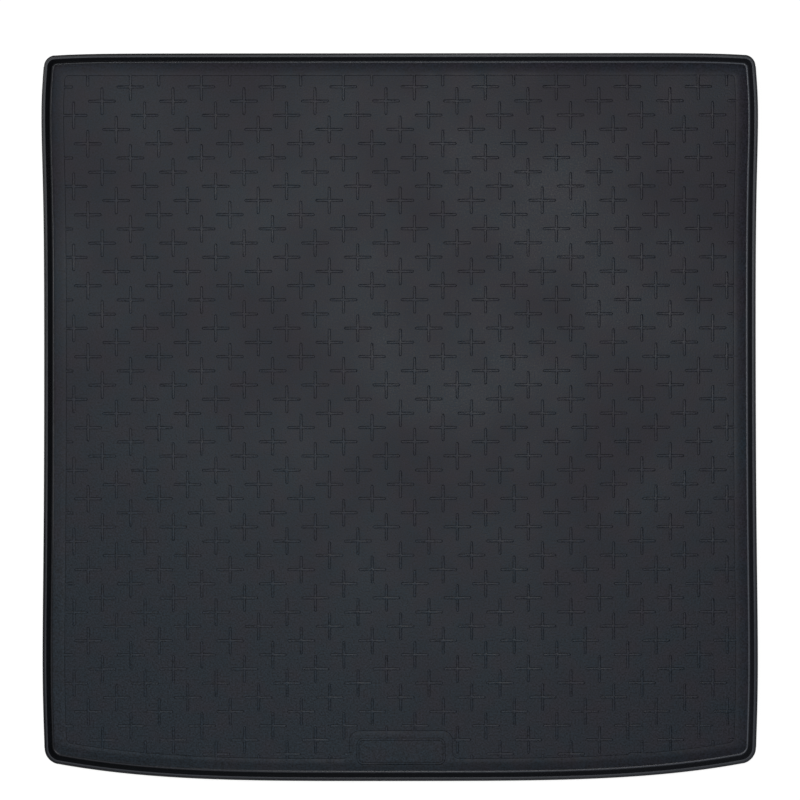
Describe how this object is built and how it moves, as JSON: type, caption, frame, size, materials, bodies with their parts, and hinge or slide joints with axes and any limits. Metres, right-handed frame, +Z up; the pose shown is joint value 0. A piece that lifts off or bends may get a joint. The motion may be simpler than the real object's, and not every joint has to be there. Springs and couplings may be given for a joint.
{
  "type": "car boot liner",
  "caption": "Moulded tray mat that covers a car's boot floor, with a low lipped rim, a floor of cross ribs and a bare framed plate at the rear edge.",
  "frame": {"origin": "middle of the flat underside, under the centre of the rim's bounding box", "axes": "+X to the car's right as the boot is looked into from behind, +Y forward to the front edge of the boot floor, +Z up"},
  "size_m": [1.0034, 1.019, 0.02],
  "materials": {
    "soft_black": "fine-grained matte moulded elastomer, charcoal black with a faint cool cast"
  },
  "bodies": {
    "root": {"boot_liner": "soft_black"}
  },
  "joints": []
}
